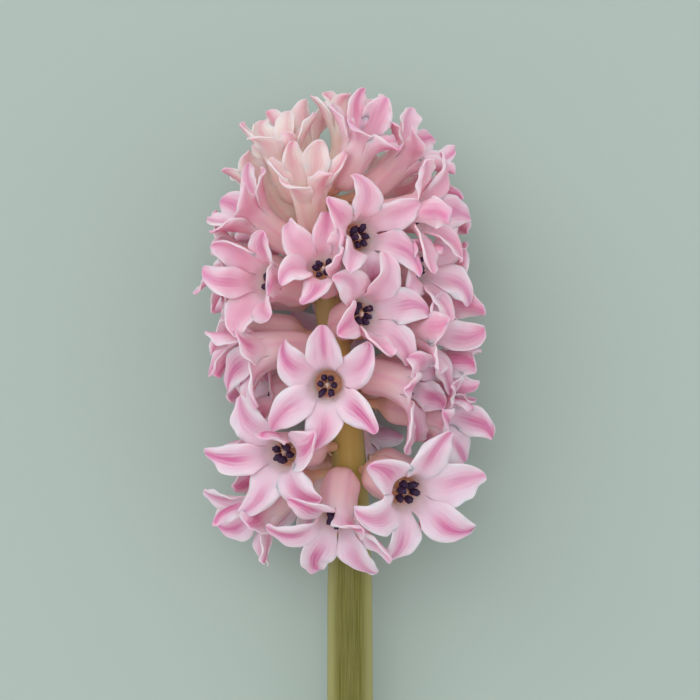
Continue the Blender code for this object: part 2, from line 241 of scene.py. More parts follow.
class Graph:
    """A material's nodes, added and wired one at a time in reading order."""

    def __init__(self, tree):
        self.tree = tree

    def add(self, kind, **settings):
        node = self.tree.nodes.new(kind)
        for name, value in settings.items():
            setattr(node, name, value)
        return node

    def feed(self, socket, value):
        if isinstance(value, bpy.types.NodeSocket):
            self.tree.links.new(value, socket)
        elif socket.type == "RGBA":
            socket.default_value = (*value, 1)
        elif value is not None:
            socket.default_value = value

    def math(self, operation, first, second=None, clamp=False):
        node = self.add("ShaderNodeMath", operation=operation, use_clamp=clamp)
        for socket, value in zip(node.inputs, (first, second)):
            self.feed(socket, value)
        return node.outputs[0]

    def blend(self, share, first, second):
        node = self.add("ShaderNodeMix", data_type="RGBA", blend_type="MIX")
        self.feed(node.inputs["Factor"], share)
        for name, value in (("A", first), ("B", second)):
            self.feed(next(s for s in node.inputs if s.name == name and s.type == "RGBA"), value)
        return next(s for s in node.outputs if s.type == "RGBA")

    def ramp(self, value, low, high):
        """0 below low and 1 above high, with soft ends."""
        node = self.add("ShaderNodeMapRange", interpolation_type="SMOOTHSTEP")
        self.feed(node.inputs["Value"], value)
        self.feed(node.inputs["From Min"], low)
        self.feed(node.inputs["From Max"], high)
        return node.outputs["Result"]

    def spread(self, share, low, high):
        return self.math("ADD", low, self.math("MULTIPLY", share, high - low))

    def attribute(self, name):
        return self.add("ShaderNodeAttribute", attribute_name=name).outputs["Fac"]

    def noise(self, vector, scale, detail=3.0, roughness=0.5):
        node = self.add("ShaderNodeTexNoise")
        self.feed(node.inputs["Vector"], vector)
        for name, value in (("Scale", scale), ("Detail", detail), ("Roughness", roughness)):
            self.feed(node.inputs[name], value)
        return node.outputs["Fac"]

    def vector(self, x, y, z=0.0):
        node = self.add("ShaderNodeCombineXYZ")
        for socket, value in zip(node.inputs, (x, y, z)):
            self.feed(socket, value)
        return node.outputs[0]

    def place(self):
        return self.add("ShaderNodeTexCoord").outputs["Object"]

    def placed(self, group, **values):
        """Puts a node group into this material with its own values, and gives its outputs."""
        node = self.add("ShaderNodeGroup", node_tree=group)
        for name, value in values.items():
            self.feed(node.inputs[name], value)
        return node.outputs


def pattern_group(name, takes, gives):
    """A new node group with its named inputs and outputs, ready to be wired."""
    tree = bpy.data.node_groups.new(name, "ShaderNodeTree")
    for label, kind in takes.items():
        tree.interface.new_socket(label, in_out="INPUT", socket_type="NodeSocket" + kind)
    for label, kind in gives.items():
        tree.interface.new_socket(label, in_out="OUTPUT", socket_type="NodeSocket" + kind)
    graph = Graph(tree)
    return graph, graph.add("NodeGroupInput").outputs, graph.add("NodeGroupOutput").inputs


def mottle_group():
    """The cloudy unevenness of a living skin: the noise itself, and a mask between two tones."""
    takes = {"scale": "Float", "fineness": "Float", "low": "Float", "high": "Float"}
    graph, given, made = pattern_group("mottle", takes, {"noise": "Float", "mask": "Float"})
    noise_value = graph.noise(graph.place(), given["scale"], 3.0, given["fineness"])
    graph.feed(made["noise"], noise_value)
    graph.feed(made["mask"], graph.ramp(noise_value, given["low"], given["high"]))
    return graph.tree


mottle = mottle_group()


def plant_material(name, roughness, glow, glow_reach, gloss):
    """A moist plant skin: the light goes a little way in, and a thin wax shine lies on top."""
    made = bpy.data.materials.new(name)
    made.use_nodes = True
    shader = made.node_tree.nodes["Principled BSDF"]
    shader.inputs["Roughness"].default_value = roughness
    shader.inputs["Subsurface Weight"].default_value = glow
    shader.inputs["Subsurface Radius"].default_value = (1.0, 0.45, 0.45)
    shader.inputs["Subsurface Scale"].default_value = glow_reach
    shader.inputs["Specular IOR Level"].default_value = gloss
    return made, shader, Graph(made.node_tree)


def bumped(graph, shader, height, strength, distance):
    bump = graph.add("ShaderNodeBump")
    bump.inputs["Strength"].default_value = strength
    bump.inputs["Distance"].default_value = distance
    graph.feed(bump.inputs["Height"], height)
    graph.feed(shader.inputs["Normal"], bump.outputs["Normal"])


def stem_skin():
    made, shader, graph = plant_material("stem_skin", 0.42, 0.12, 1.2 * MM, 0.3)
    turned = graph.add("ShaderNodeMapping", vector_type="TEXTURE")
    turned.inputs["Location"].default_value = LAID.translation
    turned.inputs["Rotation"].default_value = (SLOPE - math.pi / 2, 0, 0)
    graph.feed(turned.inputs["Vector"], graph.place())
    parts = graph.add("ShaderNodeSeparateXYZ")
    graph.feed(parts.inputs[0], turned.outputs[0])
    side, depth, height = parts.outputs
    angle = graph.math("ARCTAN2", side, depth)
    streak_place = graph.vector(graph.math("MULTIPLY", angle, 5.0), graph.math("MULTIPLY", height, 14.0))
    streaks = graph.noise(streak_place, 2.2, 5.0, 0.65)
    fine_place = graph.vector(graph.math("MULTIPLY", angle, 22.0), graph.math("MULTIPLY", height, 40.0))
    fine = graph.noise(fine_place, 1.6, 3.0, 0.6)
    olive = graph.blend(graph.ramp(streaks, 0.35, 0.68), dye(84, 82, 8), dye(106, 103, 24))
    brown = graph.blend(graph.ramp(streaks, 0.35, 0.68), dye(246, 188, 118), dye(252, 212, 150))
    drift = graph.placed(mottle, scale=60.0, fineness=0.5)["noise"]
    into_head = graph.math("ADD", height, graph.math("MULTIPLY", drift, 0.03))
    skin = graph.blend(graph.ramp(into_head, 0.112, 0.150), olive, dye(206, 180, 96))
    skin = graph.blend(graph.ramp(into_head, 0.150, 0.190), skin, brown)
    pale_rib = graph.math("MULTIPLY", graph.ramp(fine, 0.35, 0.75), 0.26)
    skin = graph.blend(pale_rib, skin, dye(190, 180, 122))
    blotch = graph.placed(mottle, scale=150.0, fineness=0.7, low=0.55, high=0.75)["mask"]
    skin = graph.blend(graph.math("MULTIPLY", blotch, 0.25), skin, dye(92, 80, 30))
    reach = graph.math("SQRT", graph.math("ADD", graph.math("MULTIPLY", side, side),
                                          graph.math("MULTIPLY", depth, depth)))
    # Painted sheen: the stem's two sides, as the camera sees them, are painted paler, standing in for
    # the shine along its edges in the light.
    painted_edge_sheen = graph.ramp(graph.math("ABSOLUTE", graph.math("SINE", angle)), 0.4, 0.95)
    skin = graph.blend(graph.math("MULTIPLY", painted_edge_sheen, 0.75), skin, dye(172, 168, 112))
    pith_dots = graph.add("ShaderNodeTexVoronoi", feature="F1")
    pith_dots.inputs["Scale"].default_value = 900.0
    graph.feed(pith_dots.inputs["Vector"], turned.outputs[0])
    dots = graph.ramp(pith_dots.outputs["Distance"], 0.22, 0.34)
    ring = graph.ramp(reach, 0.0012, 0.0050)
    pith = graph.blend(ring, dye(206, 205, 160), dye(168, 176, 104))
    pith = graph.blend(dots, dye(142, 146, 84), pith)
    skin_edge = graph.math("GREATER_THAN", reach, 0.0055)
    on_cut = graph.math("MULTIPLY", graph.math("LESS_THAN", height, 0.0006),
                        graph.math("SUBTRACT", 1.0, skin_edge))
    graph.feed(shader.inputs["Base Color"], graph.blend(on_cut, skin, pith))
    graph.feed(shader.inputs["Roughness"], graph.spread(streaks, 0.36, 0.52))
    bumped(graph, shader, streaks, 0.2, 0.2 * MM)
    return made


piece_from("flower_stalk", stem_body(), stem_skin(), "stem_skin", "stem")


# ---------------------------------------------------------------------------------------------
# The florets. Each is one waxy bell grown in one piece: a thin stalk, a fleshy tube and six
# pointed lobes that roll back at their tips. They crowd round the stem, and open from the
# bottom of the head upwards, so the top ones are still creamy and half shut.
# ---------------------------------------------------------------------------------------------
MOUTH_RADIUS = 4.4 * MM
TUBE_TOP_DEPTH = 4.6 * MM
THROAT_FLOOR_RADIUS = 3.0 * MM
THROAT_FLOOR = 3.9 * MM
TUBE_TOP_RADIUS = 4.55 * MM
THROAT_RISES = (0.0, 0.3, 0.66, 1.0)
THROAT_SHARE = 0.6
FLOOR_INSETS = (0.5, 1.2, 1.2)
TUBE_FLUTE = 0.035
TUBE_RINGS = ((5.4, 4.5), (7.2, 4.5), (9.0, 4.68), (10.6, 4.75), (12.0, 4.4), (13.4, 3.5),
              (14.5, 2.4), (15.3, 1.6))
PEDICEL_RADIUS = 1.25 * MM
PEDICEL_STEPS = 5
PATH_POINTS = 33
MOUTH_PULL = 0.55
FOOT_PULL = 0.3
HIGHEST_FOOT = STEM_LENGTH - 4 * MM
LOBE_LENGTH = 14.5 * MM
LOBE_HALF_WIDTH = 4.8 * MM
LOBE_CUP = 0.22
LOBE_FOOT_WIDTH = 0.66
LOBE_SWELL = 0.36
POINTED_TIP = (0.58, 0.46)
BLUNT_TIP = (0.68, 0.38)
POINTED_FROM = math.radians(64)
BLUNT_SPAN = math.radians(34)
CROWDED = 0.92
FLARE = math.radians(14)
CURL = 0.35
MIDRIB_STEPS = 24
WALL = 0.75 * MM
SWAY_WIDTH = 0.2
FRILL_WIDTH = 0.12
SWAY = 3.2 * MM
EDGE_ROLL = 0.30
EDGE_ROLL_FROM = 0.6
GROOVE = 0.32 * MM
GROOVE_WIDTH = 0.22
TWIST = math.radians(55)
WAVE = 2.0 * MM
FRILL = 1.1 * MM
TIP_ROLL = 20.0 * MM
TIP_ROLL_FROM = 0.55
RIPPLE = 0.45 * MM
INNER_WHORL = 0.55 * MM
OUTER_WHORL = -0.45 * MM
GAP = 0.3 * MM
SHORTEST_LOBE = 8.0 * MM
LOBES = 6
COLUMNS = 10
AROUND = COLUMNS * LOBES
LOBE_SHARES = (0.05, 0.12, 0.2, 0.29, 0.38, 0.47, 0.56, 0.65, 0.73, 0.81, 0.88, 0.94, 0.98, 1.0)
BENDS = (0, -10, -20, 10, -30, -40, 20, 35, -50, 50, -60, -70, -80)
LENGTHS = (1.0, 0.85, 0.7, 0.5, 0.3)
LEAST_BEND = 8
MOST_OPEN_WHEN_CREAM = 45
OLDEST_HEIGHT = 135
YOUNGEST_HEIGHT = 172
SHAPE_SEED = 7
SLOW_UNEVEN = 2.4
FAST_UNEVEN = 1.7

# Height of the mouth up the stem, its turn round the stem from the front, its distance from the
# stem's centre, its rise above the foot of its stalk, the turn and the lift of the way it
# faces, how far its lobes open, its roll, and its size (mm and degrees).
FLORETS = (
    (148.5, -8, 24, 4, -8, -8, 88, 28, 1.00),
    (131.3, -42, 25, -1, -32, -6, 88, 8, 1.06),
    (121.4, 35, 25, -5, 28, -16, 86, 22, 1.16),
    (114.9, -9, 21, -11, -4, -48, 88, 0, 1.05),
    (166.4, 23, 22, 4, 38, 2, 69, 12, 1.00),
    (185.9, 27, 22, 3, 32, 4, 68, 40, 1.02),
    (178.0, 0, 24, 5, -6, 30, 72, 26, 0.86),
    (196.5, -10, 15.5, 7, -4, 54, 34, 10, 0.86),
    (190.5, -62, 18, 6, -68, 36, 46, 50, 0.88),
    (174.5, -40, 22, 3, -37, 2, 46, 5, 1.02),
    (179.6, -90, 21, 4, -94, 12, 67, 20, 0.93),
    (163.0, -88, 21.5, 2, -86, 2, 62, 48, 0.95),
    (157.0, -48, 24, 3, -80, -14, 68, 15, 1.00),
    (146.0, -76, 18.5, -2, -76, -22, 76, 33, 0.96),
    (116.5, -72, 23, -9, -66, -36, 62, 12, 1.0),
    (206.0, 80, 21, 10, 70, 42, 52, 18, 0.86),
    (194.0, 107, 28, 5, 96, 14, 62, 44, 0.90),
    (192.0, 60, 28, 3, 60, 2, 70, 2, 1.00),
    (178.5, 64, 27, 2, 60, 2, 62, 30, 0.98),
    (171.0, 94, 27.5, 3, 90, 2, 70, 14, 0.98),
    (162.0, 62, 26, 1, 62, -4, 66, 50, 0.98),
    (152.0, 90, 22.5, 1, 86, -6, 50, 25, 0.98),
    (140.5, 76, 24.5, -3, 74, -14, 80, 6, 1.02),
    (148.0, 43, 25, -1, 70, -24, 78, 52, 1.04),
    (213.0, 84, 6, 10, 40, 80, 40, 20, 0.84),
    (206.5, -54, 12.5, 11, -40, 70, 34, 46, 0.84),
    (199.0, -108, 14, 9, -102, 58, 24, 0, 0.83),
    (209.0, 34, 17, 11, 36, 50, 50, 36, 0.88),
    (129.5, -104, 19.5, -4, -104, -10, 67, 24, 0.93),
    (124.0, 104, 17.5, -5, 104, -24, 67, 10, 0.94),
    (210.5, -146, 10.5, 15, -146, 66, 28, 12, 0.80),
    (211.0, 153, 13.5, 15, 146, 58, 34, 40, 0.84),
    (188.5, -148, 17, 6, -140, 20, 46, 28, 0.90),
    (197.5, 138, 18.5, 6, 128, 28, 44, 6, 0.89),
    (178.5, 180, 19, 3, 181, 4, 46, 34, 0.93),
    (172.5, -130, 21, 1, -120, 2, 52, 16, 0.98),
    (172.0, 136, 21, 3, 122, 2, 50, 50, 0.98),
    (160.0, 180, 18, 1, 180, -2, 50, 22, 0.96),
    (151.0, -132, 21, 0, -118, -8, 56, 42, 1.00),
    (147.0, 134, 21, -1, 120, -10, 56, 8, 1.00),
    (133.0, 176, 17, -4, 178, -22, 52, 30, 0.96),
    (121.5, -142, 20, -6, -132, -32, 56, 18, 0.98),
)
PRESSED_WALL = 0.3 * MM
noise.seed_set(SHAPE_SEED)


def facing(turn, lift):
    angle = math.radians(lift)
    return outward(turn) * math.cos(angle) + Vector((0, 0, math.sin(angle)))


def floret_path(height, turn, reach, rise, face_turn, face_lift):
    """Points down the middle of a floret, from its mouth to the foot of its stalk."""
    mouth = stem_centre(height * MM) + outward(turn) * reach * MM
    foot_height = min((height - rise) * MM, HIGHEST_FOOT)
    start = outward(turn)
    foot = stem_centre(foot_height) + start * (stem_radius(foot_height) + GAP)
    span = (mouth - foot).length
    leaving = mouth - facing(face_turn, face_lift) * span * MOUTH_PULL
    return interpolate_bezier(mouth, leaving, foot + start * span * FOOT_PULL, foot, PATH_POINTS)


def place_along(path, distance):
    left = distance
    for near, far in zip(path, path[1:]):
        step = (far - near).length
        if left <= step:
            break
        left -= step
    return near.lerp(far, min(left / step, 1.0)), (near - far).normalized()


def mouth_frame(path, roll):
    """The mouth's own axes: X and Y across it and Z out of it."""
    axis = (path[0] - path[1]).normalized()
    side = axis.cross(Vector((0, 0, 1))).normalized()
    turned = Quaternion(axis, math.radians(roll)) @ side
    axes = Matrix((turned, axis.cross(turned), axis)).transposed().to_4x4()
    return Matrix.Translation(path[0]) @ axes


def ring_point(path, mouth, distance, radius, angle):
    point, direction = place_along(path, distance)
    axis = mouth.col[2].to_3d()
    spoke = mouth.to_3x3() @ Vector((math.cos(angle), math.sin(angle), 0))
    return point + (axis.rotation_difference(direction) @ spoke) * radius


def midrib(bend, length, share):
    """(distance out, distance up, angle) of a lobe's midrib at a share of its length."""
    out = up = 0.0
    angle = FLARE
    for step in range(round(MIDRIB_STEPS * share)):
        along = (step + 0.5) / MIDRIB_STEPS
        angle = FLARE + (bend - FLARE) * (1 - (1 - along) ** 2) + CURL * bend * along**4
        out += math.sin(angle) * length / MIDRIB_STEPS
        up += math.cos(angle) * length / MIDRIB_STEPS
    return out, up, angle


def smooth_midrib(bend, length, share):
    """The midrib between the whole steps of its curve, for rows that fall between them."""
    low = math.floor(MIDRIB_STEPS * share + 1e-6) / MIDRIB_STEPS
    first = midrib(bend, length, low)
    rest = share - low
    if rest < 1e-6:
        return first
    second = midrib(bend, length, low + 1 / MIDRIB_STEPS)
    return tuple(mixed(one, two, rest * MIDRIB_STEPS) for one, two in zip(first, second))


def unevenness(floret, lobe):
    wave = math.sin(SLOW_UNEVEN * lobe + FAST_UNEVEN * floret)
    return 7 * wave + (4 if lobe % 2 else -4), 0.7 * math.cos(FAST_UNEVEN * lobe + floret)


def half_width(share, radius, size, bend):
    """(half the lobe's width, half the width of its own sixth); a shut lobe ends blunter."""
    natural = LOBE_FOOT_WIDTH + LOBE_SWELL * math.sin(math.pi * min(1.0, share / 0.9))
    blunt = eased((POINTED_FROM - bend) / BLUNT_SPAN)
    start, fullness = (mixed(one, two, blunt) for one, two in zip(POINTED_TIP, BLUNT_TIP))
    if share > start:
        natural *= max(0.0, 1 - ((share - start) / (1 - start)) ** 2) ** fullness
    sixth = radius * math.pi / LOBES
    wide = sixth * (0.98 + 0.34 * eased((share - 0.12) / 0.35))
    return min(natural * LOBE_HALF_WIDTH * size, wide), sixth * CROWDED


def lobe_section(number, lobe, size, bend, length, share):
    """(radius, height and slope of the midrib, half the width, turn) at a share of the length."""
    out, up, angle = smooth_midrib(bend, length, share)
    radius = MOUTH_RADIUS * size + out
    half, sixth = half_width(share, radius, size, bend)
    lean = unevenness(number, lobe)[1] * share * max(0.0, sixth - half)
    turn = 2 * math.pi * lobe / LOBES + lean / radius
    return radius, up, angle, half, turn


def lobe_point(mouth, number, lobe, across, share, size, bend, length):
    """A point of a lobe's upper face; across runs from -1 to 1 between its two edges."""
    radius, up, angle, half, turn = lobe_section(number, lobe, size, bend, length, share)
    mood, sway, roll_back = noise.noise_vector(Vector((number * 3.1, lobe * 5.7, 0.5)))
    wave = noise.noise(Vector((number * 1.7 + share * 3.0, lobe * 2.3, across)))
    frill = noise.noise(Vector((number * 2.9 + share * 7.0, lobe * 1.3, across * 1.5)))
    half *= 1 + SWAY_WIDTH * sway + FRILL_WIDTH * frill * eased(share * 3)
    turn += (across * half + SWAY * size * sway * share**2) / radius
    hollow = LOBE_CUP * (1 + 0.7 * share**3) * half * across**2
    rolled = max(0.0, abs(across) - EDGE_ROLL_FROM) ** 2 / (1 - EDGE_ROLL_FROM) ** 2
    hollow -= EDGE_ROLL * half * rolled * (0.7 + mood) * eased(share * 2)
    groove = math.exp(-((across / GROOVE_WIDTH) ** 2)) * math.sin(math.pi * min(1, share * 1.05))
    hollow -= GROOVE * size * groove
    hollow += across * half * math.sin(TWIST * mood) * share**2
    hollow += (WAVE * wave + FRILL * frill) * size * across**2 * eased(share * 1.5)
    hollow += TIP_ROLL * size * roll_back * max(0.0, share - TIP_ROLL_FROM) ** 2
    ripple = math.sin(26 * share + 9 * mood + 2 * across) * abs(across) ** 3
    hollow += RIPPLE * size * ripple * eased(share * 2 - 0.3)
    hollow += (INNER_WHORL if lobe % 2 == 0 else OUTER_WHORL) * size * eased(share / 0.3)
    hollow *= eased(share * 8)
    spoke = Vector((math.cos(turn), math.sin(turn), 0))
    local = spoke * (radius - hollow * math.cos(angle)) + Vector((0, 0, up + hollow * math.sin(angle)))
    return mouth @ local


def framed_tip(mouth, number, lobe, size, bend, length):
    """Where the plain solid of this floret has the tip of a lobe, if it took this bend."""
    out, up, _ = midrib(bend, length, 1.0)
    turn = 2 * math.pi * lobe / LOBES
    radius = MOUTH_RADIUS * size + out
    turn += unevenness(number, lobe)[1] * math.pi / LOBES * CROWDED
    spoke = Vector((math.cos(turn), math.sin(turn), 0))
    return laid(mouth @ (spoke * radius + Vector((0, 0, up))), PRESSED_WALL)


def framed_lobe(number, mouth, lobe, opening, size, corners):
    """The bend and length that a lobe has in the frame, where crowded lobes stay more shut."""
    wanted = opening + unevenness(number, lobe)[0]
    best = None
    for length in LENGTHS:
        for change in BENDS:
            bend = math.radians(max(LEAST_BEND, wanted + change))
            full = length * LOBE_LENGTH * size
            off = corners.find(framed_tip(mouth, number, lobe, size, bend, full))[2]
            if best is None or off < best[0] - 0.01 * MM:
                best = (off, bend, max(full, SHORTEST_LOBE * size))
    return best[1:]


def throat_cup(bm, mouth, size):
    """The sheet of the throat, its floor and its wall, with the edges of the mouth returned."""
    column = numbered_circle(bm, AROUND)
    along = bm.verts.layers.float.new("along")
    edge = bm.verts.layers.float.new("edge")
    bm.verts.layers.float.new("tone")
    edges = bm.edges[:]
    rows = [bm.verts[:]]
    for _ in THROAT_RISES[1:]:
        made = bmesh.ops.extrude_edge_only(bm, edges=edges)["geom"]
        edges = [item for item in made if isinstance(item, bmesh.types.BMEdge)]
        rows.append([item for item in made if isinstance(item, bmesh.types.BMVert)])
    for rise, verts in zip(THROAT_RISES, rows):
        for vert in verts:
            angle = 2 * math.pi * vert[column] / AROUND
            radius = mixed(THROAT_FLOOR_RADIUS, MOUTH_RADIUS, rise)
            spoke = Vector((math.cos(angle), math.sin(angle), 0)) * radius
            vert.co = mouth @ ((spoke - Vector((0, 0, THROAT_FLOOR * (1 - rise)))) * size)
            vert[along] = -THROAT_SHARE * (1 - rise)
            vert[edge] = off_midrib(vert[column])
    return edges


def off_midrib(column):
    """0 on the line of a lobe's midrib and 1 half way to the next lobe."""
    middle = round(column / COLUMNS) * COLUMNS
    return abs(column - middle) / (COLUMNS / 2)


def grow_lobe(bm, rim, number, mouth, lobe, size, bend, length):
    """Extrudes one lobe from its edges of the mouth, row by row, and closes it in a tip."""
    column = bm.verts.layers.int["column"]
    tone = bm.verts.layers.float["tone"]
    along = bm.verts.layers.float["along"]
    edge = bm.verts.layers.float["edge"]
    half = COLUMNS // 2
    wanted = {(COLUMNS * lobe + step) % AROUND for step in range(-half, half + 1)}
    edges = [item for item in rim if {vert[column] for vert in item.verts} <= wanted]
    for share in LOBE_SHARES:
        made = bmesh.ops.extrude_edge_only(bm, edges=edges)["geom"]
        edges = [item for item in made if isinstance(item, bmesh.types.BMEdge)]
        verts = [item for item in made if isinstance(item, bmesh.types.BMVert)]
        for vert in verts:
            step = (vert[column] - COLUMNS * lobe + AROUND // 2) % AROUND - AROUND // 2
            across = step / half
            vert.co = lobe_point(mouth, number, lobe, across, share, size, bend, length)
            vert[along] = share
            vert[edge] = abs(across)
            vert[tone] = (number * 0.381966 + lobe * 0.29) % 1.0
    tip = sum((vert.co for vert in verts), Vector()) / len(verts)
    bmesh.ops.pointmerge(bm, verts=verts, merge_co=tip)


def tube_wall(mouth, size, rise, column):
    """A point of the tube's outside beside the throat; rise runs from its floor to the mouth."""
    angle = 2 * math.pi * column / AROUND
    spoke = Vector((math.cos(angle), math.sin(angle), 0))
    spoke *= mixed(TUBE_TOP_RADIUS, MOUTH_RADIUS + WALL, rise)
    return mouth @ ((spoke - Vector((0, 0, TUBE_TOP_DEPTH * (1 - rise)))) * size)


def thickened(bm, mouth, size):
    """Gives the sheet its wall on the side away from the mouth, thinner towards the margins."""
    column = bm.verts.layers.int["column"]
    skin = bm.verts.layers.float.new("skin")
    mark = bm.verts.layers.int.new("mark")
    along = bm.verts.layers.float["along"]
    edge = bm.verts.layers.float["edge"]
    above = mouth @ Vector((0, 0, MOUTH_RADIUS))
    bmesh.ops.recalc_face_normals(bm, faces=bm.faces)
    bm.normal_update()
    near = min(bm.faces, key=lambda face: (face.calc_center_median() - above).length)
    if near.normal.dot(above - near.calc_center_median()) < 0:
        bmesh.ops.reverse_faces(bm, faces=bm.faces)
    bm.normal_update()
    walls = []
    for index, vert in enumerate(bm.verts):
        vert[mark] = index
        thin = eased(vert[along] * 3) * (0.35 * vert[edge] ** 2 + 0.25 * max(0.0, vert[along]) ** 3)
        walls.append(vert.normal * WALL * (1 - thin))
    inner = set(bm.verts)
    bmesh.ops.solidify(bm, geom=bm.faces[:], thickness=0.1 * WALL)
    places = {vert[mark]: vert.co.copy() for vert in inner}
    for vert in bm.verts:
        vert[skin] = 0.0 if vert in inner else 1.0
        if vert not in inner and vert[along] < -0.05:
            vert.co = tube_wall(mouth, size, 1 + vert[along] / THROAT_SHARE, vert[column])
        elif vert not in inner:
            vert.co = places[vert[mark]] - walls[vert[mark]]


def lower_tube(bm, path, mouth, size):
    """Draws the fleshy lower tube and the stalk out of the cup's floor, down to the stem."""
    column = bm.verts.layers.int["column"]
    along = bm.verts.layers.float["along"]
    edge = bm.verts.layers.float["edge"]
    axis = mouth.col[2].to_3d()
    many = [face for face in bm.faces if len(face.verts) == AROUND]
    floor, face = sorted(many, key=lambda item: -item.calc_center_median().dot(axis))
    for inset in FLOOR_INSETS:
        bmesh.ops.inset_region(bm, faces=[floor], thickness=inset * MM * size, depth=0)
    length = sum((far - near).length for near, far in zip(path, path[1:]))
    squeeze = min(1.0, (length - GAP) * 0.9 / (TUBE_RINGS[-1][0] * MM * size))
    rings = [(depth * MM * size * squeeze, wide * MM * size) for depth, wide in TUBE_RINGS]
    last = rings[-1][0]
    stalk = [(mixed(last, length, (step + 1) / PEDICEL_STEPS), PEDICEL_RADIUS)
             for step in range(PEDICEL_STEPS)]
    for depth, radius in (*rings, *stalk):
        if depth > rings[0][0]:
            face = bmesh.ops.extrude_discrete_faces(bm, faces=[face])["faces"][0]
        for vert in face.verts:
            angle = 2 * math.pi * vert[column] / AROUND
            flute = 1 + TUBE_FLUTE * math.cos(LOBES * angle) * (radius > 2 * MM)
            vert.co = ring_point(path, mouth, depth, radius * flute, angle)
            vert[along] = -depth / (10 * MM)
            vert[edge] = off_midrib(vert[column])


def floret_body(number, row):
    """The mesh of one floret: its throat and lobes, then their wall, then the tube and stalk."""
    opening, roll, size = row[6:]
    path = floret_path(*row[:6])
    mouth = mouth_frame(path, roll)
    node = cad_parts[f"floret_{number:02d}"].data
    corners = KDTree(len(node.vertices))
    for index, vert in enumerate(node.vertices):
        corners.insert(vert.co, index)
    corners.balance()
    bm = bmesh.new()
    rim = throat_cup(bm, mouth, size)
    for lobe in range(LOBES):
        bend, length = framed_lobe(number, mouth, lobe, opening, size, corners)
        grow_lobe(bm, rim, number, mouth, lobe, size, bend, length)
    thickened(bm, mouth, size)
    lower_tube(bm, path, mouth, size)
    age = bm.verts.layers.float.new("age")
    grown = eased((YOUNGEST_HEIGHT - row[0]) / (YOUNGEST_HEIGHT - OLDEST_HEIGHT))
    for vert in bm.verts:
        vert.co = laid(vert.co)
        vert[age] = grown
    return bm


PETAL_TONES = ("ground", "blush", "band", "tip", "tube", "tube_foot", "throat")


def petal_group():
    """The colouring of a petal: a deeper band down its midrib, paler sides and a flushed tip."""
    graph, given, made = pattern_group("petal_colouring", {tone: "Color" for tone in PETAL_TONES},
                                       {"colour": "Color", "roughness": "Float", "height": "Float"})
    ground, blush, band, tip, tube, tube_foot, throat = (given[tone] for tone in PETAL_TONES)
    along, edge = graph.attribute("along"), graph.attribute("edge")
    skin, tone = graph.attribute("skin"), graph.attribute("tone")
    vein_place = graph.vector(graph.math("ADD", graph.math("MULTIPLY", edge, 5.0),
                                         graph.math("MULTIPLY", tone, 40.0)),
                              graph.math("MULTIPLY", along, 0.9), graph.math("MULTIPLY", tone, 7.0))
    veins = graph.noise(vein_place, 1.7, 3.0, 0.6)
    cloud = graph.placed(mottle, scale=90.0, fineness=0.5, low=0.32, high=0.68)
    colour = graph.blend(cloud["mask"], ground, blush)
    age = graph.attribute("age")
    colour = graph.blend(graph.math("MULTIPLY", age, 0.6), colour, dye(230, 206, 220))
    wander = graph.math("ADD", edge, graph.math("MULTIPLY", graph.math("SUBTRACT", veins, 0.5), 0.9))
    midrib_line = graph.math("SUBTRACT", 1.0, graph.ramp(wander, -0.05, 0.62))
    stripe = graph.math("MULTIPLY", midrib_line, graph.ramp(along, 0.12, 0.62))
    depth = graph.math("ADD", graph.math("MULTIPLY", tone, 0.5), graph.math("MULTIPLY", age, 0.3))
    stripe = graph.math("MULTIPLY", stripe, graph.math("ADD", 0.32, depth), clamp=True)
    colour = graph.blend(stripe, colour, band)
    side = graph.math("MULTIPLY", graph.ramp(edge, 0.5, 1.0), graph.ramp(along, 0.25, 0.6))
    colour = graph.blend(graph.math("MULTIPLY", side, 0.5), colour, dye(246, 228, 234))
    reach = graph.math("ADD", along, graph.math("MULTIPLY", graph.math("SUBTRACT", veins, 0.5), 0.3))
    strength = graph.math("ADD", 0.15, graph.math("MULTIPLY", tone, 0.5))
    flush = graph.math("MULTIPLY", graph.ramp(reach, 0.74, 1.04), strength)
    colour = graph.blend(flush, colour, tip)
    outside = graph.blend(graph.math("MULTIPLY", graph.ramp(veins, 0.3, 0.75), 0.35), tube, ground)
    outside = graph.blend(graph.math("MULTIPLY", midrib_line, 0.36), outside, band)
    tube_share = graph.math("MULTIPLY", graph.math("SUBTRACT", 1.0, graph.ramp(along, -0.3, 0.5)), skin)
    colour = graph.blend(graph.math("MULTIPLY", tube_share, 0.8), colour, outside)
    inside = graph.math("SUBTRACT", 1.0, graph.ramp(along, -0.35, 0.22))
    inside = graph.math("MULTIPLY", inside, graph.math("SUBTRACT", 1.0, skin))
    colour = graph.blend(graph.math("MULTIPLY", inside, 0.85), colour, throat)
    deep = graph.math("SUBTRACT", 1.0, graph.ramp(along, -0.62, -0.3))
    deep = graph.math("MULTIPLY", deep, graph.math("SUBTRACT", 1.0, skin))
    colour = graph.blend(deep, colour, dye(226, 176, 140))
    foot = graph.math("SUBTRACT", 1.0, graph.ramp(along, -1.9, -0.9))
    colour = graph.blend(foot, colour, tube_foot)
    graph.feed(made["colour"], colour)
    graph.feed(made["roughness"], graph.spread(cloud["noise"], 0.42, 0.58))
    graph.feed(made["height"], veins)
    return graph.tree


petal_colouring = petal_group()


def petal_skin(name, **tones):
    """The waxy skin of the petals, with its own seven tones."""
    made, shader, graph = plant_material(name, 0.5, 0.7, 3.0 * MM, 0.35)
    pattern = graph.placed(petal_colouring, **tones)
    graph.feed(shader.inputs["Base Color"], pattern["colour"])
    graph.feed(shader.inputs["Roughness"], pattern["roughness"])
    bumped(graph, shader, pattern["height"], 0.12, 0.12 * MM)
    return made


